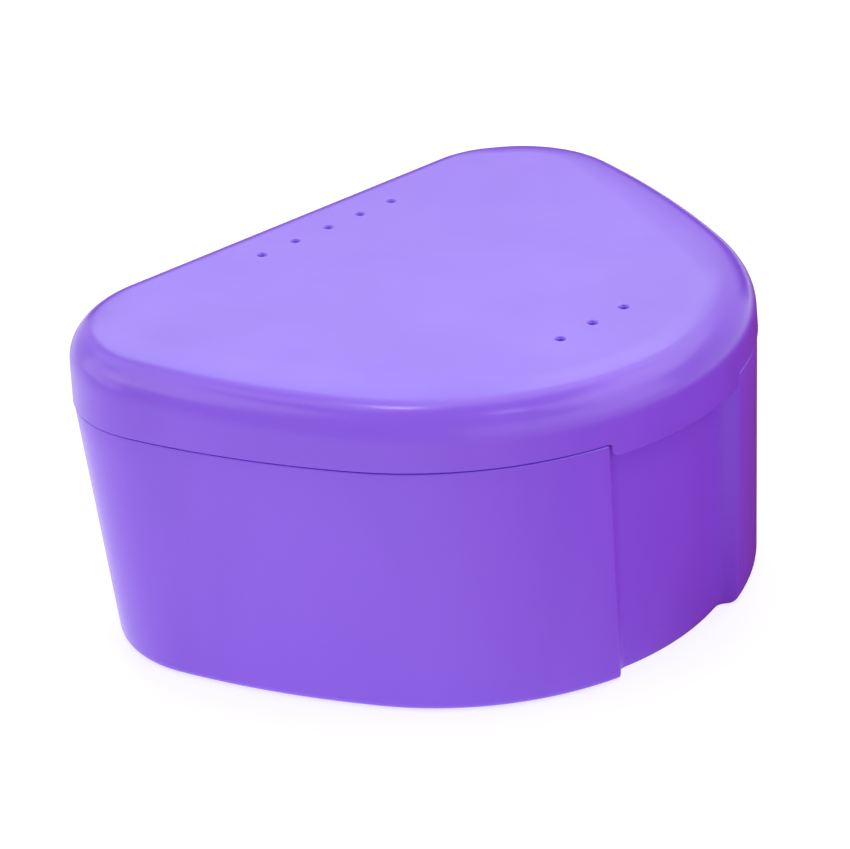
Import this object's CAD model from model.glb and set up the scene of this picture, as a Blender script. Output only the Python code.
import math

import bmesh
import bpy
import numpy as np
from mathutils import Matrix, Vector


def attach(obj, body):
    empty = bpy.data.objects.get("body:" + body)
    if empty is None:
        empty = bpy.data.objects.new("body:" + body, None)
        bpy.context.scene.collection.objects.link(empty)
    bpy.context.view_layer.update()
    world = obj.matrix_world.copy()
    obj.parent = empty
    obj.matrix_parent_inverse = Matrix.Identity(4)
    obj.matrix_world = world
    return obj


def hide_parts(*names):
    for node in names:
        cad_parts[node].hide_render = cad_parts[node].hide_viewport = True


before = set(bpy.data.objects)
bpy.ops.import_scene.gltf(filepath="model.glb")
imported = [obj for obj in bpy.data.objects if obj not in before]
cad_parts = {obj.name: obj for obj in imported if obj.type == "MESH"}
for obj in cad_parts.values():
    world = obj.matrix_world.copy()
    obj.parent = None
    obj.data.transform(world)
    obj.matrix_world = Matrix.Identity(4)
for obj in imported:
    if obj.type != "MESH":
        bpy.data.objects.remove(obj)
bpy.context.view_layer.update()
print("frame loaded:", ", ".join(sorted(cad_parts)))

# Every dictionary is in millimetres; meshes, lamps and the camera are made in metres.
mm = 0.001
creaseAngle = math.radians(38.0)  # faces that meet at more than this are shaded apart


cameraView = dict(azimuth=-43.4644, elevation=26.231, roll=-4.3468,  # degrees
                  target=(0.0, -11.71, 21.951), distance=273.99,
                  targetPixel=(531.653, 429.094), pixelsPerMm=8.04192,
                  picture=(850, 849), sensor=36.0, clip=(0.01, 20.0))  # clip in metres


def aimed(azimuth, elevation):
    # The direction at an azimuth, in degrees from the front (-y) towards +x, and an elevation.
    a, e = math.radians(azimuth), math.radians(elevation)
    return Vector((math.sin(a) * math.cos(e), -math.cos(a) * math.cos(e), math.sin(e)))


def addObject(name, data):
    made = bpy.data.objects.new(name, data)
    bpy.context.scene.collection.objects.link(made)
    return made


def addCamera(view):
    # The camera looks along a line set by azimuth and elevation, is rolled about it, and is
    # moved sideways so that the target lands on its pixel.
    a, r = math.radians(view["azimuth"]), math.radians(view["roll"])
    back = aimed(view["azimuth"], view["elevation"])
    level = Vector((math.cos(a), math.sin(a), 0.0))
    rise = back.cross(level)
    right = level * math.cos(r) + rise * math.sin(r)
    up = rise * math.cos(r) - level * math.sin(r)
    width, height = view["picture"]
    across = (view["targetPixel"][0] - width / 2) / view["pixelsPerMm"]
    down = (view["targetPixel"][1] - height / 2) / view["pixelsPerMm"]
    place = Vector(view["target"]) + back * view["distance"] - right * across + up * down
    data = bpy.data.cameras.new("camera")
    data.sensor_width = view["sensor"]
    data.lens = view["pixelsPerMm"] * view["distance"] * view["sensor"] / width
    data.clip_start, data.clip_end = view["clip"]
    camera = addObject("camera", data)
    turn = Matrix((right, up, back)).transposed()
    camera.matrix_world = Matrix.Translation(place * mm) @ turn.to_4x4()
    bpy.context.scene.camera = camera


addCamera(cameraView)
print("camera placed")


def srgb(code):
    # An sRGB hex colour as linear red, green, blue and alpha 1.
    parts = [int(code[i:i + 2], 16) / 255 for i in (1, 3, 5)]
    linear = [p / 12.92 if p <= 0.04045 else ((p + 0.055) / 1.055) ** 2.4 for p in parts]
    return (*linear, 1.0)


def addNode(tree, kind, values=(), links=(), **settings):
    # One node with its settings, its socket values and its incoming links. A link comes from a
    # socket, or from a node, which stands for its first output.
    node = tree.nodes.new("ShaderNode" + kind)
    for key, value in settings.items():
        setattr(node, key, value)
    for socket, value in dict(values).items():
        node.inputs[socket].default_value = value
    for socket, source in dict(links).items():
        tree.links.new(getattr(source, "outputs", (source,))[0], node.inputs[socket])
    return node


def startMaterial(name):
    material = bpy.data.materials.new(name)
    material.use_nodes = True
    material.node_tree.nodes.clear()
    return material, material.node_tree


def endMaterial(tree, surface):
    addNode(tree, "OutputMaterial", links={"Surface": surface})


polypropylene = dict(body="#884aea", pale="#8d4fee", deep="#8345e4",
                     colourStops=(0.3, 0.5, 0.72),  # where deep, body and pale lie in the noise
                     swirlSize=26.0, swirlStretch=2.2, seedShift=(0.031, 0.017, 0.0),
                     roughness=(0.2, 0.265), hazeSize=9.0,
                     skinSize=1.1, skinHeight=0.0022,  # the real grain is finer; this size shows
                     sinkSize=22.0, sinkHeight=0.02,
                     ior=1.64,  # matched to the gloss; usually about 1.49
                     scatter=0.10, scatterRadius=(1.2, 0.6, 1.6))
noiseMiddle = {"From Min": 0.3, "From Max": 0.7}  # where most of a noise's values lie


def mouldedPolypropylene(name, seed, spec):
    # Polypropylene, injection moulded in a polished tool: a waxy, slightly translucent purple.
    # The eye gets soft pigment flow, a semi-gloss skin a little hazier in places, faint
    # shrinkage that bends long reflections, and a very fine skin texture.
    material, tree = startMaterial(name)
    place = addNode(tree, "TexCoord").outputs["Object"]
    flowPlace = addNode(tree, "Mapping", {"Location": [seed * shift for shift in spec["seedShift"]],
                                          "Scale": (1.0, 1.0, 1.0 / spec["swirlStretch"])},
                        {"Vector": place})
    flow = addNode(tree, "TexNoise", {"Scale": 1 / (spec["swirlSize"] * mm), "Detail": 3.0,
                                      "Roughness": 0.45, "Distortion": 0.6}, {"Vector": flowPlace})
    colour = addNode(tree, "ValToRGB", links={"Fac": flow})
    deepStop, bodyStop, paleStop = spec["colourStops"]
    stops = colour.color_ramp.elements
    stops[0].position, stops[0].color = deepStop, srgb(spec["deep"])
    stops[1].position, stops[1].color = paleStop, srgb(spec["pale"])
    stops.new(bodyStop).color = srgb(spec["body"])
    haze = addNode(tree, "TexNoise", {"Scale": 1 / (spec["hazeSize"] * mm), "Detail": 4.0},
                   {"Vector": flowPlace})
    low, high = spec["roughness"]
    rough = addNode(tree, "MapRange", {**noiseMiddle, "To Min": low, "To Max": high}, {"Value": haze})
    sink = addNode(tree, "TexNoise", {"Scale": 1 / (spec["sinkSize"] * mm), "Detail": 1.0},
                   {"Vector": flowPlace})
    skin = addNode(tree, "TexNoise", {"Scale": 1 / (spec["skinSize"] * mm), "Detail": 3.0},
                   {"Vector": place})
    sinkBump = addNode(tree, "Bump", {"Distance": spec["sinkHeight"] * mm}, {"Height": sink})
    skinBump = addNode(tree, "Bump", {"Distance": spec["skinHeight"] * mm},
                       {"Height": skin, "Normal": sinkBump})
    shader = addNode(tree, "BsdfPrincipled",
                     {"IOR": spec["ior"], "Subsurface Weight": spec["scatter"],
                      "Subsurface Radius": spec["scatterRadius"], "Subsurface Scale": mm},
                     {"Base Color": colour, "Roughness": rough, "Normal": skinBump})
    endMaterial(tree, shader)
    return material


steelWire = dict(colour="#c9c8c6", roughness=(0.2, 0.36),
                 drawLine=0.12, drawHeight=0.002,  # the lines' width and depth
                 drawStretch=0.02)  # their width over their length


def drawnSteelWire(name, spec):
    # Stainless steel spring wire, cold drawn: bright metal with fine lines along the wire.
    material, tree = startMaterial(name)
    place = addNode(tree, "TexCoord").outputs["Object"]
    along = addNode(tree, "Mapping", {"Scale": (spec["drawStretch"], 1.0, 1.0)},
                    {"Vector": place})
    lines = addNode(tree, "TexNoise", {"Scale": 1 / (spec["drawLine"] * mm), "Detail": 2.0},
                    {"Vector": along})
    low, high = spec["roughness"]
    rough = addNode(tree, "MapRange", {**noiseMiddle, "To Min": low, "To Max": high}, {"Value": lines})
    bump = addNode(tree, "Bump", {"Distance": spec["drawHeight"] * mm}, {"Height": lines})
    shader = addNode(tree, "BsdfPrincipled", {"Base Color": srgb(spec["colour"]), "Metallic": 1.0},
                     {"Roughness": rough, "Normal": bump})
    endMaterial(tree, shader)
    return material


tubPlastic = mouldedPolypropylene("moulded polypropylene, tub", 3, polypropylene)
lidPlastic = mouldedPolypropylene("moulded polypropylene, lid", 8, polypropylene)
# A finish is the material, the body that the piece rides on and the record's slot.
tubFinish = (tubPlastic, "tub_body", "tub_plastic")
lidFinish = (lidPlastic, "lid_body", "lid_plastic")
wireFinish = (drawnSteelWire("drawn stainless wire", steelWire), "tub_body", "pin_steel")
print("materials made")


studio = dict(floorSize=4000.0, floorColour="#c0c0c3", floorGlow=0.66, skyLevel=0.44,
              lampDistance=1300.0, lampAim=(0, 0, 20),
              widestSpot=5)  # degrees; a wider lamp is narrowed with its elevation

softboxes = [
    # name, azimuth, elevation, width and height as seen from the case in degrees, radiance, and a
    # colour where it isn't white
    ("rearLeftSoftbox", -140, 21, 46, 30, 0.9),
    ("rearLeftHighSoftbox", -165, 48, 34, 28, 0.9, "#d8f6ff"),
    ("leftSoftbox", -120, 44, 44, 30, 1.1),
    ("rearSoftbox", 140, 37, 46, 24, 1.15, "#d8f6ff"),
    ("rearHighSoftbox", 150, 50, 33, 28, 0.7, "#d8f6ff"),
    ("rearRightSoftbox", 115, 48, 33, 28, 0.9),
    ("overheadSoftbox", 120, 70, 55, 18, 0.9),
    ("overheadLeftSoftbox", -150, 70, 45, 18, 0.8),
    ("rightSoftbox", 85, 48, 33, 28, 1.05),
    ("rightMiddleSoftbox", 55, 48, 33, 28, 1.4),
    ("rightFrontSoftbox", 25, 48, 33, 28, 1.3),
    ("frontRightSoftbox", 20, 21, 40, 26, 0.9),
    ("frontSoftbox", -20, 21, 40, 26, 0.5),
    ("overheadSpot", 170, 77, 2.2, 2.2, 80.0),
    ("frontSpot", -7, 66, 1.8, 1.8, 50.0),
]
# Dark flags on the right, seen by nothing but reflections: a mat on the floor that fades in and
# out round the case and away from it, and a card behind the case on the right that fades upwards.
flags = dict(matColour="#80303f", bounceColour="#b83c54", middle=(0.0, -20.0), lift=0.05,
             matCorners=[(-400, -420), (400, -420), (400, 380), (-400, 380)],
             fade=((-90, 0.0), (30, 1.0), (140, 1.0), (205, 0.0)),  # degrees from front to +x, share
             reach=(110, 380),  # where it starts to fade and where it is gone
             cardColour="#4a474f",
             cardCorners=[(600, 50, 0), (180, 580, 0), (180, 580, 205), (600, 50, 205)],
             cardFade=(105, 204))  # heights


def addSoftbox(name, azimuth, elevation, width, height, radiance, colour="#ffffff"):
    # A lamp in the given direction, at one distance for all, whose sides are twice that distance
    # times the tangent of half its angle. The width of a softbox is also times the cosine of its
    # elevation, as its azimuths close up overhead. Power is radiance times area times pi.
    middle, distance = Vector(studio["lampAim"]), studio["lampDistance"]
    place = middle + distance * aimed(azimuth, elevation)
    narrower = math.cos(math.radians(elevation)) if width > studio["widestSpot"] else 1
    lamp = bpy.data.lights.new(name, "AREA")
    lamp.shape, lamp.color = "RECTANGLE", srgb(colour)[:3]
    lamp.size = 2 * distance * mm * math.tan(math.radians(width / 2)) * narrower
    lamp.size_y = 2 * distance * mm * math.tan(math.radians(height / 2))
    lamp.energy = radiance * lamp.size * lamp.size_y * math.pi
    holder = addObject(name, lamp)
    turn = (middle - place).to_track_quat("-Z", "Y").to_matrix().to_4x4()
    holder.matrix_world = Matrix.Translation(place * mm) @ turn
    holder.visible_camera = False


def addSheet(name, corners, material):
    mesh = bpy.data.meshes.new(name)
    mesh.from_pydata([Vector(c) * mm for c in corners], [], [(0, 1, 2, 3)])
    mesh.materials.append(material)
    sheet = addObject(name, mesh)
    return sheet


def seenDirectly(tree):
    # 1 for a ray from the camera, or by way of a mirror or glass, and 0 for light on things.
    light = addNode(tree, "LightPath").outputs
    mirror = addNode(tree, "Math", links={0: light["Is Camera Ray"], 1: light["Is Glossy Ray"]},
                     operation="ADD")
    return addNode(tree, "Math", links={0: mirror, 1: light["Is Transmission Ray"]},
                   operation="ADD", use_clamp=True)


def fadeOut(tree, value, ends):
    # 1 below the first end, 0 past the second, and a smooth step between them.
    start, end = ends
    return addNode(tree, "MapRange",
                   {"From Min": start * mm, "From Max": end * mm, "To Min": 1.0, "To Max": 0.0},
                   {"Value": value}, interpolation_type="SMOOTHSTEP")


def flagShare(tree):
    # 0 to 1 by the direction from the flags' middle, times 1 to 0 by the distance from it. The
    # radial gradient runs once round from -x, so the front lies at a quarter, and its seam is on
    # the left, where the share is 0.
    place = addNode(tree, "TexCoord").outputs["Object"]
    middle = [c * mm for c in flags["middle"]] + [0.0]
    about = addNode(tree, "Mapping", {"Location": middle}, {"Vector": place}, vector_type="TEXTURE")
    turn = addNode(tree, "TexGradient", links={"Vector": about}, gradient_type="RADIAL")
    sides = addNode(tree, "ValToRGB", links={"Fac": turn.outputs["Fac"]})
    sides.color_ramp.interpolation = "EASE"
    stops = sides.color_ramp.elements
    fade = [(0.25 + direction / 360, level) for direction, level in flags["fade"]]
    for position, _ in fade[1:-1]:
        stops.new(position)
    for stop, (position, level) in zip(stops, fade):
        stop.position, stop.color = position, (level, level, level, 1.0)
    away = addNode(tree, "VectorMath", links={0: about}, operation="LENGTH")
    near = fadeOut(tree, away.outputs["Value"], flags["reach"])
    return addNode(tree, "Math", links={0: sides, 1: near}, operation="MULTIPLY")


def endFlagMaterial(tree, colour, share):
    # Matt where the share is 1 and clear where it is 0.
    clear = addNode(tree, "BsdfTransparent")
    matt = addNode(tree, "BsdfDiffuse", {"Color": srgb(colour)})
    endMaterial(tree, addNode(tree, "MixShader", links={0: share, 1: clear, 2: matt}))


def makeStudio():
    half, white = studio["floorSize"] / 2, srgb("#ffffff")
    paint, tree = startMaterial("pale studio floor")
    # Matt white paint with a glow, so the floor shows white and still keeps the case's shadow.
    # What the glow throws on the case turns wine red towards the side where the mat lies.
    matt = addNode(tree, "BsdfDiffuse", {"Color": srgb(studio["floorColour"])})
    thrown = addNode(tree, "Math", {0: 1.0}, {1: seenDirectly(tree)}, operation="SUBTRACT")
    red = addNode(tree, "Math", links={0: thrown, 1: flagShare(tree)}, operation="MULTIPLY")
    tint = addNode(tree, "Mix", {"A": white, "B": srgb(flags["bounceColour"])},
                   {"Factor": red}, data_type="RGBA")
    glow = addNode(tree, "Emission", {"Strength": studio["floorGlow"]},
                   {"Color": tint.outputs["Result"]})
    endMaterial(tree, addNode(tree, "AddShader", links={0: matt, 1: glow}))
    addSheet("floor", [(-half, -half, 0), (half, -half, 0), (half, half, 0), (-half, half, 0)], paint)

    # Felt and paper, both matt: the plastic shows the one as a deeper, redder tone and the other
    # as a darker one.
    felt, tree = startMaterial("wine red felt")
    endFlagMaterial(tree, flags["matColour"], flagShare(tree))
    paper, tree = startMaterial("grey paper")
    place = addNode(tree, "TexCoord").outputs["Object"]
    height = addNode(tree, "SeparateXYZ", links={0: place}).outputs["Z"]
    endFlagMaterial(tree, flags["cardColour"], fadeOut(tree, height, flags["cardFade"]))
    mat = addSheet("flagMat", [corner + (flags["lift"],) for corner in flags["matCorners"]], felt)
    for flag in (mat, addSheet("flagCard", flags["cardCorners"], paper)):
        flag.visible_camera = flag.visible_shadow = flag.visible_diffuse = False

    world = bpy.data.worlds.new("studio")
    world.use_nodes = True
    tree = world.node_tree
    tree.nodes.clear()
    level = addNode(tree, "MapRange", {"To Min": studio["skyLevel"], "To Max": 1.0},
                    {"Value": seenDirectly(tree)})
    sky = addNode(tree, "Background", {"Color": white}, {"Strength": level})
    addNode(tree, "OutputWorld", links={"Surface": sky})
    bpy.context.scene.world = world
    for box in softboxes:
        addSoftbox(*box)
    bpy.context.scene.view_settings.view_transform = "Standard"


def joined(*parts, axis=0):
    return np.concatenate(parts, axis)


def gridFaces(rows, columns):
    # Four-sided faces between neighbouring rows of a grid whose columns close on themselves.
    r, c = np.meshgrid(np.arange(rows - 1), np.arange(columns), indexing="ij")
    n = (c + 1) % columns
    low, high = r * columns, (r + 1) * columns
    return np.stack((low + c, low + n, high + n, high + c), -1).reshape(-1, 4)


def closedSurface(grid):
    # Vertices, quads and triangles of a grid whose columns close on themselves and whose first
    # and last rows are closed with a fan round their middle.
    rows, columns, _ = grid.shape
    poles = np.stack((grid[0].mean(0), grid[-1].mean(0)))
    points = joined(grid.reshape(-1, 3), poles)
    c = np.arange(columns)
    n = (c + 1) % columns
    first, last = rows * columns, rows * columns + 1
    base = (rows - 1) * columns
    fans = joined(np.stack((n, c, np.full(columns, first)), -1),
                  np.stack((base + c, base + n, np.full(columns, last)), -1))
    return points, gridFaces(rows, columns), fans


def ringSurface(grid):
    # Vertices, quads and no triangles of a grid that closes on itself both ways, like a ring.
    rows, columns, _ = grid.shape
    count = rows * columns
    faces = gridFaces(rows + 1, columns)
    return grid.reshape(-1, 3), np.where(faces >= count, faces - count, faces), np.zeros((0, 3), int)


def addPiece(name, surfaces, finish, replaced=()):
    # One mesh object from several (points, quads, triangles) surfaces, in place and in metres.
    material, body, slotName = finish
    points, quads, fans, offset = [], [], [], 0
    for p, q, t in surfaces:
        points.append(p)
        quads.append(q + offset)
        fans.append(t + offset)
        offset += len(p)
    points, quads, fans = (joined(*part) for part in (points, quads, fans))
    faces = quads.tolist() + fans.tolist()
    mesh = bpy.data.meshes.new(name)
    mesh.from_pydata(points * mm, [], faces)
    mesh.validate()
    finishMesh(mesh)
    mesh.materials.append(material)
    piece = addObject(name, mesh)
    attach(piece, body)
    if replaced:
        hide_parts(*replaced)
    print(f"{name}: {len(points)} points, {len(faces)} faces")
    return piece


def smoothMesh(mesh):
    # Smooth shading, and a crease only where faces meet at a real edge.
    mesh.polygons.foreach_set("use_smooth", np.ones(len(mesh.polygons), bool))
    mesh.set_sharp_from_angle(angle=creaseAngle)


def finishMesh(mesh):
    # Faces outwards, then smooth.
    shape = bmesh.new()
    shape.from_mesh(mesh)
    bmesh.ops.recalc_face_normals(shape, faces=shape.faces[:])
    shape.to_mesh(mesh)
    shape.free()
    smoothMesh(mesh)


def lerp(a, b, t):
    return a + (b - a) * t


def turnSteps(count, start=0.0, end=90.0):
    return np.radians(np.linspace(start, end, count))


def fullTurn(count):
    return np.linspace(0, 2 * math.pi, count, endpoint=False)


def quarterArc(radius, count, start=0.0, end=90.0):
    # Along a quarter circle: how far it has come in, from 0, and how far it still has to go up.
    a = turnSteps(count, start, end)
    return radius * (1 - np.cos(a)), radius * (1 - np.sin(a))


def column(values):
    return np.asarray(values, float)[:, None]


plan = dict(width=90.0, depth=69.0, hingeReach=4.7, cornerRadius=17.0, sideRadius=115.5, frontTuck=6.2,
            seamHeight=31.6, backLean=2.7, sideLean=0.21, frontLean=0.13,
            middle=(0.0, -2.35), recessHalfWidth=12.0, recessInset=2.42, flankAngle=40.0,
            recessDraft=0.27, flankDraft=0.65)  # how much less deep and wide it is at the floor
frontY = -(plan["depth"] + plan["hingeReach"]) / 2
backY = frontY + plan["depth"]
bowRadius = plan["width"] / 2 - plan["frontTuck"]
bowY = frontY + bowRadius
recessEdgeY = bowY - math.sqrt(bowRadius ** 2 - plan["recessHalfWidth"] ** 2)
flankTurn = math.radians(plan["flankAngle"])
flankSin, flankCos = math.sin(flankTurn), math.cos(flankTurn)


def outlineArcs(back=0.0, side=0.0, front=0.0):
    # The right half of the outline is a straight back and three arcs that meet smoothly. The
    # side arc's centre lies at known distances from the centres of the other two.
    corner, flank, bow = plan["cornerRadius"] - side, plan["sideRadius"] - side, bowRadius - front
    cornerX = plan["width"] / 2 - plan["cornerRadius"]
    cornerY = backY - back - corner
    spanX, spanY = -cornerX, bowY - cornerY
    span = np.hypot(spanX, spanY)
    along = ((flank - corner) ** 2 - (flank - bow) ** 2 + span ** 2) / (2 * span)
    away = np.sqrt((flank - corner) ** 2 - along ** 2)
    flankX = cornerX + (along * spanX + away * spanY) / span
    flankY = cornerY + (along * spanY - away * spanX) / span
    cornerTurn = np.arctan2(cornerY - flankY, cornerX - flankX)
    bowTurn = np.arctan2(bowY - flankY, -flankX)
    return dict(cornerX=cornerX, cornerY=cornerY, corner=corner, cornerTurn=cornerTurn,
                flankX=flankX, flankY=flankY, flank=flank, bow=bow, bowTurn=bowTurn)


def leansAt(height):
    # The walls lean out evenly from the floor to the seam and stand upright above it.
    down = np.clip(1 - np.asarray(height, float) / plan["seamHeight"], 0, None)
    return dict(back=plan["backLean"] * down, side=plan["sideLean"] * down,
                front=plan["frontLean"] * down)


upright = leansAt(plan["seamHeight"])


def halfOutline(station, inset, leans=upright):
    # Points and outward directions on the right half. Station 0 to 1 runs along the back, 1 to 2
    # round the corner, 2 to 3 along the side and 3 to 4 round the bowed front to its middle.
    arcs = outlineArcs(**leans)

    def perArc(corner, side, front):
        return np.where(station < 2, corner, np.where(station < 3, side, front))
    straight = station < 1
    turn = perArc(lerp(math.pi / 2, arcs["cornerTurn"], station - 1),
                  lerp(arcs["cornerTurn"], arcs["bowTurn"], station - 2),
                  lerp(arcs["bowTurn"], -math.pi / 2, station - 3))
    turn = np.where(straight, math.pi / 2, turn)
    centreX = perArc(arcs["cornerX"], arcs["flankX"], 0.0)
    centreX = np.where(straight, station * arcs["cornerX"], centreX)
    centreY = perArc(arcs["cornerY"], arcs["flankY"], bowY)
    radius = perArc(arcs["corner"], arcs["flank"], arcs["bow"]) - inset
    nx, ny = np.cos(turn), np.sin(turn)
    return centreX + radius * nx, centreY + radius * ny, nx, ny


def wholeLoop(half):
    # The left half is the right half mirrored, joined where both meet the middle plane.
    left = half[:, -2:0:-1] * np.array((-1.0, 1.0, 1.0))
    return joined(half, left, axis=1)


def towardsMiddle(ring, shares, middle):
    # Rings inside a ring: each is the ring drawn in towards one middle point by its share.
    middle, shares = np.array(middle), np.array(shares, float)[:, None, None]
    return middle + (ring[None] - middle) * shares


tubForm = dict(overhang=0.12, wall=1.8, floor=1.8,
               recessEdge=0.45, recessCorner=1.5,  # radii of the recess's outer edge and inner corner
               foot=1.2, recessFoot=0.3,  # the foot's radius outside the recess and in it
               rimEdge=0.2, shoulderInset=(0.7, 0.95), shoulderRise=(0.25, 0.5),
               lipInset=1.07, lipTop=33.8, lipEdge=0.25, lipRecessEdge=0.3,
               lipHeights=(31.72, 32.4, 33.0), lipRecessHeights=(32.3, 32.7, 33.1),
               cavityRadius=3.0, cavityEdge=0.8, cavityCorner=1.5, cavityCornerGrowth=0.3)
# the raised panel under the floor: its side falls in by steps as it rises, and a flat rim surrounds it
underside = dict(rim=5.0, depth=0.5, steps=(0.5, 0.32, 0.2, 0.12, 0.05, -0.06, -0.2),
                 rises=(1, 0.97, 0.84, 0.5, 0.16, 0.03, 0), edge=0.6, corner=2.4,
                 rimInsets=(3.2, 1.9), rimCorners=(2.2, 2.0))
tubColumns = dict(back=12, corner=28, side=40, front=22, edge=6, flank=7, inner=5, recess=16)
tubRows = dict(foot=7, wall=12, edge=5, inside=12, bottom=9, fill=(0.04, 0.2, 0.4, 0.6, 0.8))


def recessedHalf(inset, recessInset, widen, edgeRadius, innerRadius, leans):
    # The right half of the outline with the thumb recess in its front: the bowed front is cut by
    # a slanting flank that leads in to a second, deeper bow. A small arc rounds the outer edge
    # and another the inner corner. Every argument is one value per row, as a column.
    n = tubColumns
    shares = [np.linspace(0, 1, n[k], endpoint=False) for k in ("back", "corner", "side")]
    station = joined(*(share + i for i, share in enumerate(shares)))[None]
    x, y, _, _ = halfOutline(station, inset, leans)
    arcs = outlineArcs(**leans)
    bow = arcs["bow"]
    outer, inner = bow - inset, bow - recessInset
    # the flank's distance from the bow's centre; it faces (-sin, -cos) and runs along (cos, -sin)
    line = -flankSin * (plan["recessHalfWidth"] + widen) - flankCos * (recessEdgeY - bowY)

    def arcCentre(radius, away):
        # The point at a radius from the bow's centre, and this far from it square to the flank.
        slide = np.sqrt(radius ** 2 - away ** 2)
        return slide * flankCos - away * flankSin, -slide * flankSin - away * flankCos
    # the outer edge's centre is inside the bow and behind the flank by the edge radius, and the
    # inner corner's is outside the deeper bow and in front of the flank
    edgeX, edgeY = arcCentre(outer - edgeRadius, line - edgeRadius)
    cornerX, cornerY = arcCentre(inner + innerRadius, line + innerRadius)
    edgeTurn, cornerTurn = np.arctan2(edgeY, edgeX), np.arctan2(cornerY, cornerX)

    def steps(key, last=False):
        return np.linspace(0, 1, n[key] + last, endpoint=last)[None]
    bowTurns = lerp(arcs["bowTurn"], edgeTurn, steps("front"))
    edgeTurns = lerp(edgeTurn, -math.pi / 2 - flankTurn, steps("edge"))
    cornerTurns = lerp(math.pi / 2 - flankTurn, cornerTurn + math.pi, steps("inner"))
    recessTurns = lerp(cornerTurn, -math.pi / 2, steps("recess", True))
    startX, startY = edgeX - edgeRadius * flankSin, edgeY - edgeRadius * flankCos
    endX, endY = cornerX + innerRadius * flankSin, cornerY + innerRadius * flankCos
    xs = (outer * np.cos(bowTurns), edgeX + edgeRadius * np.cos(edgeTurns),
          lerp(startX, endX, steps("flank")),
          cornerX + innerRadius * np.cos(cornerTurns), inner * np.cos(recessTurns))
    ys = (outer * np.sin(bowTurns), edgeY + edgeRadius * np.sin(edgeTurns),
          lerp(startY, endY, steps("flank")),
          cornerY + innerRadius * np.sin(cornerTurns), inner * np.sin(recessTurns))
    return joined(x, *xs, axis=1), joined(y, *(v + bowY for v in ys), axis=1)


def recessShare():
    # Per column: 0 outside the recess, rising along the flank to 1 in it.
    n = tubColumns
    outside = sum(n[k] for k in ("back", "corner", "side", "front", "edge"))
    return joined(np.zeros(outside), np.linspace(0, 1, n["flank"], endpoint=False),
                  np.ones(n["inner"] + n["recess"] + 1))


def tubProfile():
    # One row per ring, from the underside up the outside, over the lip and down the inside:
    # height outside the recess, height in it, inset, recess inset, recess widening, edge radius
    # and inner corner radius.
    t, u, n = tubForm, underside, tubRows
    root = 1 / flankSin  # a flank set back by 1 widens the recess by root
    seam, outer, recess = plan["seamHeight"], t["overhang"], plan["recessInset"]
    cavity, deep = outer + t["wall"], recess + t["wall"]

    def rows(z, inset, deeper, widen, zIn=None, edge=t["recessEdge"], inner=t["recessCorner"]):
        parts = [z, z if zIn is None else zIn, inset, deeper, widen, edge, inner]
        parts = [np.atleast_1d(np.asarray(p, float)) for p in parts]
        return np.stack(np.broadcast_arrays(*parts), 1)

    step, rises = np.array(u["steps"]), np.array(u["rises"])
    under = u["rim"] + step
    panel = rows(u["depth"] * rises, outer + under, recess + under, under * root,
                 edge=u["edge"], inner=u["corner"] + step)
    pad = np.array(u["rimInsets"])
    rim = rows(0, outer + pad, recess + pad, pad * root, edge=u["edge"], inner=u["rimCorners"])
    rise, tuck = quarterArc(t["foot"], n["foot"])
    little = tuck * t["recessFoot"] / t["foot"]
    foot = rows(rise, outer + tuck, recess + little, little * root, inner=t["recessCorner"] + little)
    wall = rows(np.linspace(t["foot"], seam - t["rimEdge"], n["wall"])[1:-1], outer, recess, 0)
    come, left = quarterArc(t["rimEdge"], n["edge"])
    edge = rows(seam - left, outer + come, recess, 0)
    shoulder = rows(seam, t["shoulderInset"], recess, 0, seam + np.array(t["shoulderRise"]),
                    edge=t["lipRecessEdge"])
    under = t["lipTop"] - t["lipEdge"]
    lip = rows(t["lipHeights"] + (under,), t["lipInset"], recess, 0, t["lipRecessHeights"] + (under,),
               edge=t["lipRecessEdge"])
    come, left = (part[1:] for part in quarterArc(t["lipEdge"], n["edge"]))
    over = rows(t["lipTop"] - left, t["lipInset"] + come, recess + come, come * root,
                edge=t["lipRecessEdge"])
    come, left = quarterArc(t["lipEdge"], n["edge"], 90, 0)
    rounds = dict(edge=t["cavityEdge"], inner=t["cavityCorner"])
    back = rows(t["lipTop"] - left, cavity - come, deep - come, (t["wall"] - come) * root, **rounds)
    low = t["floor"] + t["cavityRadius"]
    inside = rows(np.linspace(under, low, n["inside"])[1:], cavity, deep, t["wall"] * root, **rounds)
    tuck, rise = (part[1:] for part in quarterArc(t["cavityRadius"], n["bottom"]))
    bottom = rows(t["floor"] + rise, cavity + tuck, deep + tuck, (t["wall"] + tuck) * root,
                  edge=t["cavityEdge"], inner=t["cavityCorner"] + t["cavityCornerGrowth"] * tuck)
    return joined(panel, rim, foot, wall, edge, shoulder, lip, over, back, inside, bottom)


def makeTubShell():
    # The profile's rows carried round the recessed outline, with the underside and the cavity
    # floor closed by rings drawn in to the middle. Towards the floor the recess gets a little
    # shallower and narrower, evenly with height.
    z, zIn, inset, deeper, widen, edge, inner = np.hsplit(tubProfile(), 7)
    down = np.clip(1 - z / plan["seamHeight"], 0, None)
    x, y = recessedHalf(inset, deeper - plan["recessDraft"] * down, widen - plan["flankDraft"] * down,
                        edge, inner, leansAt(z))
    height = z + (zIn - z) * recessShare()[None]
    walls = wholeLoop(np.stack((x, y, np.broadcast_to(height, x.shape)), -1))
    under = towardsMiddle(walls[0], tubRows["fill"], plan["middle"] + (underside["depth"],))
    floor = towardsMiddle(walls[-1], tubRows["fill"][::-1], plan["middle"] + (tubForm["floor"],))
    return closedSurface(joined(under, walls, floor))


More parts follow.
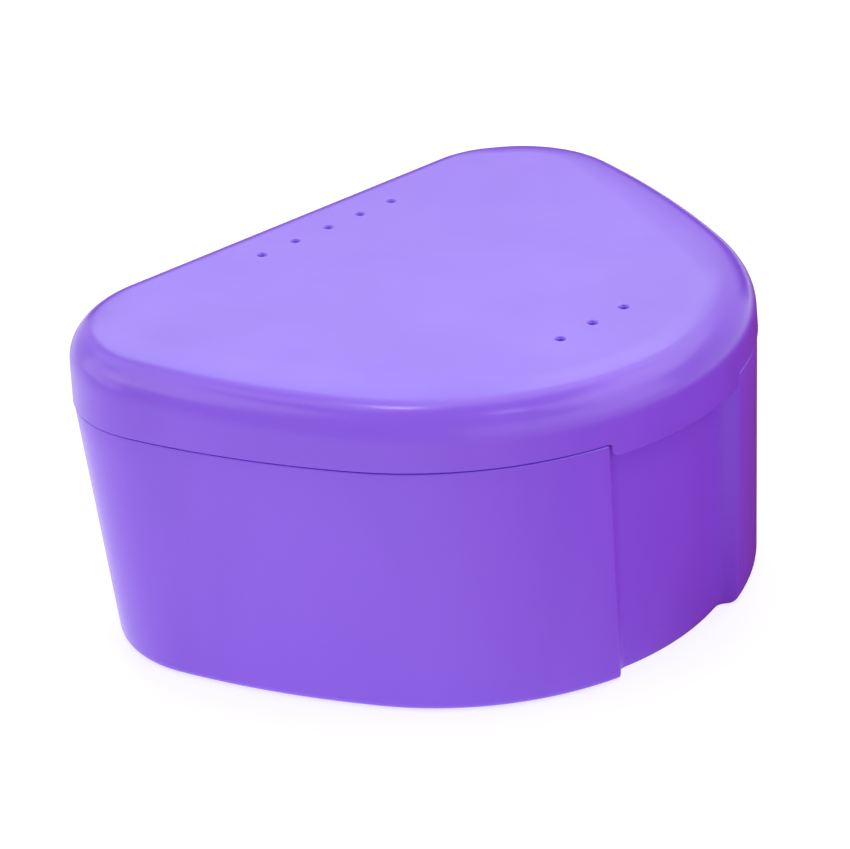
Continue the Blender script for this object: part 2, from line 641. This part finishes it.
lidForm = dict(topFront=38.69, topBack=41.49, edgeRadius=4.4, draft=0.6, wall=1.8, top=1.8,
               rimBottom=31.72, rimEdge=0.2, skirt=0.85, rebateTop=34.1, wallLine=33.4,
               tabBottom=30.0, tabThickness=1.5, tabEndGap=0.3, tabCorner=1.0, tabRoot=0.4,
               tabSpread=1.7,  # how far to each side the columns of the tab's end spread at the top
               thinFrom=10.8)  # how far out the skirt is back to its own thickness
# The band between the flat and the round edge, wider where the sides bulge past the flat's nearly
# straight side, which is a line through a point. Slopes are degrees; turn and growth are shares.
lidBand = dict(sideX=27.9, sideY=-8.4, sideRun=0.48, sideBlend=1.6, leastSlant=0.4, even=0.8, width=1.8,
               startSlope=3.0, endSlope=8.0, turn=0.3, growth=1 / 3)
lidColumns = dict(back=12, corner=30, side=44, front=18, root=6, end=4, corner2=8, tab=14)
lidRows = dict(bandTurn=4, band=8, fold=15, upper=5, lower=9, edge=6, face=3, innerEdge=5, skirt=5,
               ledge=3, wall=5, inside=8, flat=(0.03, 0.15, 0.3, 0.45, 0.6, 0.75, 0.88, 0.96),
               ceiling=(0.93, 0.82, 0.68, 0.52, 0.36, 0.2, 0.04))
topSlope = (lidForm["topBack"] - lidForm["topFront"]) / plan["depth"]


def topPlane(y):
    return lidForm["topFront"] + topSlope * (y - frontY)


def lidLean(z):
    # The lid's wall leans in evenly above the seam.
    seam = plan["seamHeight"]
    return lidForm["draft"] * np.clip(z - seam, 0, None) / (lidForm["topBack"] - seam)


def tabEndTurn(inset):
    # Half the tab's angle on the bow: where the bow meets the line that runs beside the flank.
    line = lidForm["tabEndGap"] - flankSin * plan["recessHalfWidth"] - flankCos * (recessEdgeY - bowY)
    return np.arccos(line / (bowRadius - inset)) - flankTurn


def lidColumnShares():
    # Per column: the station for the upper rows and, for the rim, the kind of stretch and the
    # share along it.
    n, f = lidColumns, lidForm
    arcs = outlineArcs()
    bowTurn = float(arcs["bowTurn"]) + math.pi / 2  # angle from the front's middle
    end = float(tabEndTurn(0.0))
    spread = f["tabSpread"] / bowRadius
    share = {k: np.linspace(0, 1, n[k], endpoint=False) for k in n}
    share["tab"] = np.linspace(0, 1, n["tab"] + 1)
    mid = n["root"] + n["end"] + n["corner2"]
    upper = joined(lerp(bowTurn, end + spread, share["front"]),
                   lerp(end + spread, end - spread, np.arange(mid) / mid),
                   lerp(end - spread, 0.0, share["tab"]))
    station = joined(share["back"], 1 + share["corner"], 2 + share["side"], 4 - upper / bowTurn)
    # the rim's line beside the tab, as distance e out from the tab's end and height z, with its
    # outward direction in the wall's own surface
    rim, edge = f["rimBottom"], f["rimEdge"]
    root, corner = f["tabRoot"], f["tabCorner"]
    a = lerp(-math.pi / 2, 0.0, share["root"])  # direction turns from down to outwards
    rootE, rootZ = root - (root + edge) * np.cos(a), rim - root - (root + edge) * np.sin(a)
    high, low = rim - root, f["tabBottom"] + corner
    endZ = lerp(high, low, share["end"])
    b = lerp(0.0, -math.pi / 2, share["corner2"])
    cornerE = -corner + (corner - edge) * np.cos(b)
    cornerZ = low + (corner - edge) * np.sin(b)
    outside = n["back"] + n["corner"] + n["side"] + n["front"]
    counts = (outside, n["root"], n["end"], n["corner2"], n["tab"] + 1)

    def alongRim(*stretches):
        # One value per column, from a number or a row of numbers for each stretch.
        return joined(*(np.broadcast_to(part, count) for part, count in zip(stretches, counts)))
    thin, full = f["skirt"], f["tabThickness"]
    return dict(e=alongRim(0.0, rootE, -edge, cornerE, 0.0),
                z=alongRim(rim + edge, rootZ, endZ, cornerZ, f["tabBottom"] + edge),
                outE=alongRim(0.0, np.cos(a), 1.0, np.cos(b), 0.0),
                outZ=alongRim(-1.0, np.sin(a), 0.0, np.sin(b), -1.0),
                thick=alongRim(thin, lerp(thin, full, share["root"]), full, full, full),
                station=station, bowTurn=bowTurn, share=share, outside=outside)


def rimPoints(cols, inset, reach):
    # Points of the rim's lower edge: the base line moved out by reach in the wall's surface and
    # in by inset through its thickness. An inset is one row per ring.
    f, n, share = lidForm, lidColumns, cols["share"]
    e = cols["e"][None] + cols["outE"] * reach
    z = cols["z"][None] + cols["outZ"] * reach
    plain = n["back"] + n["corner"] + n["side"]
    end = tabEndTurn(inset)
    radius = bowRadius - inset
    near, far = f["tabRoot"] / bowRadius, f["tabCorner"] / bowRadius
    outside = cols["outside"]
    turn = np.zeros(np.broadcast_shapes(inset.shape, e.shape))
    last = len(share["tab"])
    front, beside, tab = slice(plain, outside), slice(outside, -last), slice(-last, None)
    turn[:, front] = lerp(cols["bowTurn"], end[:, front] + near, share["front"])
    turn[:, beside] = (end + e / radius)[:, beside]
    turn[:, tab] = lerp(end[:, tab] - far, 0.0, share["tab"])
    station = np.where(np.arange(e.shape[1]) < plain, cols["station"], 4 - turn / cols["bowTurn"])
    return station, np.broadcast_to(z, station.shape)


def placeRows(station, inset, z):
    x, y, _, _ = halfOutline(station, inset)
    return np.stack(np.broadcast_arrays(x, y, z), -1)


def shareSteps(count):
    # A column of even shares from just past 0 to 1.
    return column(np.linspace(0, 1, count)[1:])


def sloped(rows, drop):
    # The same rows at the top plane's height, less a drop.
    rows[..., 2] = topPlane(rows[..., 1]) - drop
    return rows


def lidTopRows(station):
    # From the flat outwards: a band that falls away where the sides bulge past the flat, and a
    # round edge, a circle's arc from the band's slope to the wall's.
    f, b, n = lidForm, lidBand, lidRows
    px, py, nx, ny = halfOutline(station, 0.0)
    steep = math.atan2(f["draft"], f["topBack"] - plan["seamHeight"])
    # distance in from the outline to the flat's straight side, and how far that passes the even band
    toLine = ((px - b["sideX"] - b["sideRun"] * (py - b["sideY"]))
              / np.maximum(nx - b["sideRun"] * ny, b["leastSlant"]))
    past = toLine - f["edgeRadius"] - b["width"]
    extra = b["width"] + (past + np.sqrt(past ** 2 + b["sideBlend"] ** 2)) / 2
    extra = np.where(station < 1, 0.0, extra * np.clip((station - 1) / b["growth"], 0, 1))
    full = np.clip(extra / b["width"], 0, 1)
    first, last = np.radians(b["startSlope"]) * full, np.radians(b["endSlope"]) * full
    radius, turn = f["edgeRadius"], b["turn"]
    band = b["even"] + extra + radius * np.sin(last)
    bandDrop = turn * band * np.tan(first) / 2 + (1 - turn) * band * (np.tan(first) + np.tan(last)) / 2
    wallDrop = bandDrop + radius * (np.cos(last) - math.sin(steep))
    lean = lidLean(topPlane(py) - wallDrop)
    # the band's slope grows over its first part from 0 to the first slope, then to the last
    t = column(joined(np.linspace(0, turn, n["bandTurn"]), np.linspace(turn, 1, n["band"])[1:]))
    early, late = np.minimum(t, turn), np.clip(t - turn, 0, None)
    drop = band * (early ** 2 / (2 * turn) * np.tan(first) + late * np.tan(first)
                   + late ** 2 / (2 * (1 - turn)) * (np.tan(last) - np.tan(first)))
    foldInset = lean + radius * (math.cos(steep) - np.sin(last))
    bandRows = sloped(placeRows(station, foldInset + band * (1 - t), 0.0), drop)
    slope = lerp(last, math.pi / 2 - steep, shareSteps(n["fold"]))
    foldRows = placeRows(station, lean + radius * (math.cos(steep) - np.sin(slope)), 0.0)
    foldRows = sloped(foldRows, wallDrop - radius * (np.cos(slope) - math.sin(steep)))
    return bandRows, foldRows


def makeLidShell():
    # Rows from the middle of the top outwards: the flat top and round edge, the leaning wall, the
    # rim with the lift tab, and back up the inside.
    f, n, cols = lidForm, lidRows, lidColumnShares()
    station, thick = cols["station"][None], cols["thick"][None]
    zero = np.zeros(station.shape)
    bandRows, foldRows = lidTopRows(station)
    # the leaning wall down to the wall line, then on down to the rim's base line
    upperZ = lerp(foldRows[-1, :, 2][None], f["wallLine"], shareSteps(n["upper"]))
    upper = placeRows(station, lidLean(upperZ), upperZ)
    rimStation, rimZ = rimPoints(cols, zero, 0.0)
    t = shareSteps(n["lower"])
    lowerZ = lerp(f["wallLine"], rimZ, t)
    lower = placeRows(lerp(station, rimStation, t), lidLean(lowerZ), lowerZ)
    # the rim's outer edge, face and inner edge
    e = f["rimEdge"]
    a, b = column(turnSteps(n["edge"])[1:]), column(turnSteps(n["innerEdge"], 90, 0)[1:])
    faceIn = lerp(e, thick - e, column(np.round(np.linspace(0, 1, n["face"] + 1)[1:], 2)))
    insets = joined(e * (1 - np.cos(a)) + zero, faceIn, thick - e * (1 - np.cos(b)))
    reaches = joined(e * np.sin(a), np.full((n["face"], 1), e), e * np.sin(b))
    rimStation, rimZ = rimPoints(cols, insets, reaches)
    rim = placeRows(rimStation, insets, rimZ)
    # inside: up the skirt to the step over the tub's lip; beside the tab the skirt thins out
    # along the recess's flank, clear of the lip
    t = shareSteps(n["skirt"])
    base, baseZ = rimPoints(cols, thick + zero, 0.0)
    skirtStation = lerp(base, station, t)
    sideways = halfOutline(skirtStation, f["skirt"])[0]
    room = f["skirt"] + (f["thinFrom"] - sideways) * flankSin / flankCos
    thinned = np.minimum(thick, np.clip(room, f["skirt"], f["tabThickness"]))
    skirtIn = np.where(skirtStation > 3, thinned, thick)
    skirt = placeRows(skirtStation, skirtIn, lerp(baseZ, f["rebateTop"], t))
    # in to the wall, up it and over to the ceiling
    step, inner = f["rebateTop"], f["edgeRadius"] - f["wall"]
    stepIn = lerp(skirtIn[-1:], f["wall"] + lidLean(step), shareSteps(n["ledge"]))
    ledge = placeRows(station, stepIn, step)
    high = topPlane(halfOutline(station, 0.0)[1]) - f["top"] - inner
    wallZ = lerp(step, high, shareSteps(n["wall"]))
    innerWall = placeRows(station, f["wall"] + lidLean(wallZ), wallZ)
    come, left = (column(part[1:]) for part in quarterArc(inner, n["inside"]))
    foldInside = sloped(placeRows(station, f["wall"] + lidLean(high) + come, 0.0), f["top"] + left)
    walls = joined(bandRows, foldRows, upper, lower, rim, skirt, ledge, innerWall, foldInside)
    walls = wholeLoop(walls)
    x, y = plan["middle"]
    flat = towardsMiddle(walls[0], n["flat"], (x, y, topPlane(y)))
    ceiling = towardsMiddle(walls[-1], n["ceiling"], (x, y, topPlane(y) - f["top"]))
    return closedSurface(joined(flat, walls, ceiling))


vents = dict(diameter=0.8, edge=0.5, edgeSteps=7, sides=40,
             rows=((5, 5.8, backY - 9.2), (3, 5.7, frontY + 14.4)),  # count, pitch, place in y
             lift=0.012, past=0.4, spread=0.02,  # what a plug has over, for a clean cut
             flatWithin=0.01)


def ventPlugs():
    # Each plug is a profile turned about an upright axis: a plain bore that flares in a quarter
    # arc to the lid's outer and inner faces, sheared to follow the top's slope.
    v, top = vents, lidForm["top"]
    come, left = quarterArc(v["edge"], v["edgeSteps"])
    flare, rise = v["diameter"] / 2 + come, v["lift"] - left
    widest = (flare[-1] + v["spread"],)
    r = column(joined(widest, flare[::-1], flare, widest))
    z = column(joined((v["past"],), rise[::-1], -top - rise, (-top - v["past"],)))
    turn = fullTurn(v["sides"])
    plugs = []
    for count, pitch, y in v["rows"]:
        for x in (np.arange(count) - (count - 1) / 2) * pitch:
            px, py = x + r * np.cos(turn), y + r * np.sin(turn)
            plugs.append(closedSurface(np.stack((px, py, topPlane(py) + z), -1)))
    return plugs


def cutVents(lid):
    cutter = addPiece("ventPlugs", ventPlugs(), (lidPlastic, "lid_body", None))
    cut = lid.modifiers.new("vents", "BOOLEAN")
    cut.operation, cut.solver, cut.object = "DIFFERENCE", "EXACT", cutter
    mesh = bpy.data.meshes.new_from_object(lid.evaluated_get(bpy.context.evaluated_depsgraph_get()))
    lid.modifiers.clear()
    lid.data = mesh
    bpy.data.objects.remove(cutter)
    smoothMesh(mesh)
    # the flat top and the ceiling keep their own direction right up to each vent
    count = len(mesh.vertices)
    points, normals = np.zeros((2, count, 3), np.float32)
    mesh.vertices.foreach_get("co", points.ravel())
    mesh.vertices.foreach_get("normal", normals.ravel())
    points /= mm
    flat = np.array((0.0, -topSlope, 1.0)) / math.hypot(topSlope, 1.0)
    for under, side in ((0.0, 1), (lidForm["top"], -1)):
        level = np.abs(points[:, 2] - topPlane(points[:, 1]) + under) < vents["flatWithin"]
        normals[level & (side * normals[:, 2] > 0.5)] = side * flat  # 0.5: it faces that way
    mesh.normals_split_custom_set_from_vertices(normals.tolist())
    print("vents cut:", count, "points")


hinge = dict(pinY=34.65, pinZ=31.6, pinRadius=0.8, pinEnd=19.1, pinTip=0.22, pinSides=40,
             bore=0.82, boreEdge=0.18, edge=0.3, edgeSteps=6, cornerSteps=8, loopPoints=144,
             # from where to where along the hinge
             earEnds=((-6.0, 6.0), (14.6, 19.6), (-19.6, -14.6)),
             knuckleEnds=((6.3, 14.3), (-14.3, -6.3)),
             # side views, as corners in y and z with their radii
             ear=((31.0, 31.55, 0), (32.45, 31.6, 0), (32.45, 33.8, 2.19), (36.85, 33.8, 2.19),
                  (36.85, 27.6, 1.0), (30.2, 22.6, 0)),
             knuckle=((31.4, 31.85, 0), (32.45, 31.76, 0), (32.45, 29.4, 2.19), (36.85, 29.4, 2.19),
                      (36.85, 33.8, 2.19), (34.6, 33.8, 0), (31.15, 36.85, 0)),
             leastRadius=0.02,
             faceSteps=(0.35, 0.7, 1.0),  # shares of the way in to the bore's edge
             chamferSteps=((0.3, 0.3), (1.0, 0.0)))  # deep and wide, as shares of that edge


def unit(vectors):
    return vectors / np.linalg.norm(vectors, axis=1)[:, None]


def roundedLoop(corners):
    # A closed polygon with an arc at each corner: the arc starts and ends at radius times the
    # tangent of half the turn from the corner.
    corners = np.array(corners, float)
    points, radii = corners[:, :2], np.maximum(corners[:, 2], hinge["leastRadius"])
    before, after = (unit(np.roll(points, way, 0) - points) for way in (1, -1))
    inside = np.arccos(np.clip((before * after).sum(1), -1, 1))
    reach = (radii / np.tan(inside / 2))[:, None]
    centre = points + unit(before + after) * (radii / np.sin(inside / 2))[:, None]
    start, end = points + before * reach - centre, points + after * reach - centre
    first = np.arctan2(start[:, 1], start[:, 0])
    sweep = (np.arctan2(end[:, 1], end[:, 0]) - first + math.pi) % (2 * math.pi) - math.pi
    t = np.linspace(0, 1, hinge["cornerSteps"])[None]
    turn = first[:, None] + sweep[:, None] * t
    loop = centre[:, None] + radii[:, None, None] * np.stack((np.cos(turn), np.sin(turn)), -1)
    return loop.reshape(-1, 2)


def spreadLoop(loop, count):
    # The same loop with its points an even distance apart.
    closed = joined(loop, loop[:1])
    length = joined((0,), np.cumsum(np.linalg.norm(np.diff(closed, axis=0), axis=1)))
    at = np.linspace(0, length[-1], count, endpoint=False)
    return np.stack([np.interp(at, length, closed[:, i]) for i in (0, 1)], 1)


def makeBarrel(loop, left, right):
    # A side-view loop carried along the hinge, with rounded ends, and bored through round the
    # pin: the end faces run from the loop to the bore, so the surface closes like a ring.
    h = hinge
    loop = spreadLoop(loop, h["loopPoints"])
    along = np.roll(loop, -1, 0) - np.roll(loop, 1, 0)
    out = unit(np.stack((along[:, 1], -along[:, 0]), 1))
    if ((loop - loop.mean(0)) * out).sum() < 0:
        out = -out
    middle = np.array((h["pinY"], h["pinZ"]))
    turn = np.arctan2(loop[:, 1] - middle[1], loop[:, 0] - middle[0])
    ray = np.stack((np.cos(turn), np.sin(turn)), 1)
    bore, edge = h["bore"], h["boreEdge"]
    rows = []
    for x, sign, order in ((left, 1, slice(None, None, -1)), (right, -1, slice(None))):
        ends = [(x + sign * inwards, loop - out * shrink)
                for shrink, inwards in zip(*quarterArc(h["edge"], h["edgeSteps"]))]
        face, lip = ends[-1][1], middle + ray * (bore + edge)
        faces = [(x, lerp(face, lip, t)) for t in h["faceSteps"]]
        chamfer = [(x + sign * edge * deep, middle + ray * (bore + edge * wide))
                   for deep, wide in h["chamferSteps"]]
        rows += (ends + faces + chamfer)[order]
    return ringSurface(np.stack([np.column_stack((np.full(len(loop), x), ring)) for x, ring in rows]))


def makePin():
    # A rod turned about the hinge line, with its cut ends rounded over.
    h = hinge
    end = h["pinEnd"]
    come, left = quarterArc(h["pinTip"], h["edgeSteps"])
    straight = np.linspace(1 - end, end - 1, 9)
    x = column(joined(-end + left[::-1], straight, end - left))
    radius = column(h["pinRadius"] - joined(come[::-1], 0 * straight, come))
    turn = fullTurn(h["pinSides"])
    grid = np.broadcast_arrays(x, h["pinY"] + radius * np.cos(turn), h["pinZ"] + radius * np.sin(turn))
    return closedSurface(np.stack(grid, -1))


ribs = dict(count=5, pitch=9.0, width=1.4, height=0.9, length=34.0, sunk=0.25, steps=12, below=0.35)
beads = dict(halfWidth=6.0, radius=0.3, steps=16, sides=20,
             tub=(plan["recessInset"], 31.6, 0.35),  # inset, height, depth
             lid=(lidForm["tabThickness"], 30.6, 0.45))
bars = dict(square=0.75, capSteps=8, least=0.002)  # square: 1 is an ellipse, less is fuller


def roundedBar(line, across, up, halfWidth, height, sides=28, below=1.0):
    # A bar along a line of points: its section is a full ellipse, drawn in to a point at both
    # ends along a circle's arc, so that the bar ends round. below is the share of its height
    # under the line.
    run = np.linalg.norm(np.diff(line, axis=0), axis=1)
    at = joined((0,), np.cumsum(run))
    fromEnd = np.clip(np.minimum(at, at[-1] - at) / halfWidth, 0, 1)
    grow = np.sqrt(np.clip(1 - (1 - fromEnd) ** 2, bars["least"], 1))[:, None, None]
    turn = fullTurn(sides)[None, :, None]
    c, s = (np.sign(v) * np.abs(v) ** bars["square"] for v in (np.cos(turn), np.sin(turn)))
    s = np.where(s < 0, s * below, s)
    section = across[:, None] * c * halfWidth + up[:, None] * s * height
    return closedSurface(line[:, None] + grow * section)


def endedSteps(length, radius, count):
    # Places along a bar, from its middle, close together at its two round ends.
    cap, _ = quarterArc(radius, bars["capSteps"])
    middle = np.linspace(radius, length - radius, count)[1:-1]
    return joined(cap, middle, (length - cap)[::-1]) - length / 2


def makeRibs():
    r = ribs
    surfaces = []
    y = endedSteps(r["length"], r["width"] / 2, r["steps"]) + plan["middle"][1]
    ones = np.ones((len(y), 1))
    for x in (np.arange(r["count"]) - (r["count"] - 1) / 2) * r["pitch"]:
        line = np.stack((np.full_like(y, x), y, np.full_like(y, tubForm["floor"] - r["sunk"])), 1)
        surfaces.append(roundedBar(line, ones * (1, 0, 0), ones * (0, 0, 1), r["width"] / 2,
                                   r["height"] + r["sunk"], below=r["below"]))
    return surfaces


def makeBead(inset, height, depth):
    # A level bead on the bowed front, half sunk in the wall that it stands on.
    b = beads
    radius = bowRadius - inset
    turn = endedSteps(2 * b["halfWidth"], b["radius"], b["steps"]) / radius
    out = np.stack((np.sin(turn), -np.cos(turn), np.zeros_like(turn)), 1)
    line = out * radius + np.array((0.0, bowY, height))
    return roundedBar(line, out, np.ones((len(turn), 1)) * (0, 0, 1), depth, b["radius"], b["sides"])


makeStudio()
print("studio lit")

addPiece("tubShell", [makeTubShell()], tubFinish, ("tub",))
cutVents(addPiece("lidShell", [makeLidShell()], lidFinish, ("lid",)))
ear, knuckle = roundedLoop(hinge["ear"]), roundedLoop(hinge["knuckle"])
addPiece("tubHingeEars", [makeBarrel(ear, *ends) for ends in hinge["earEnds"]], tubFinish)
addPiece("lidHingeKnuckles", [makeBarrel(knuckle, *ends) for ends in hinge["knuckleEnds"]], lidFinish)
addPiece("hingeWire", [makePin()], wireFinish, ("hinge_pin",))
addPiece("dryingRibs", makeRibs(), tubFinish)
addPiece("tubCatchBead", [makeBead(*beads["tub"])], tubFinish)
addPiece("lidCatchBead", [makeBead(*beads["lid"])], lidFinish)

bpy.context.view_layer.update()
print("sizes written")
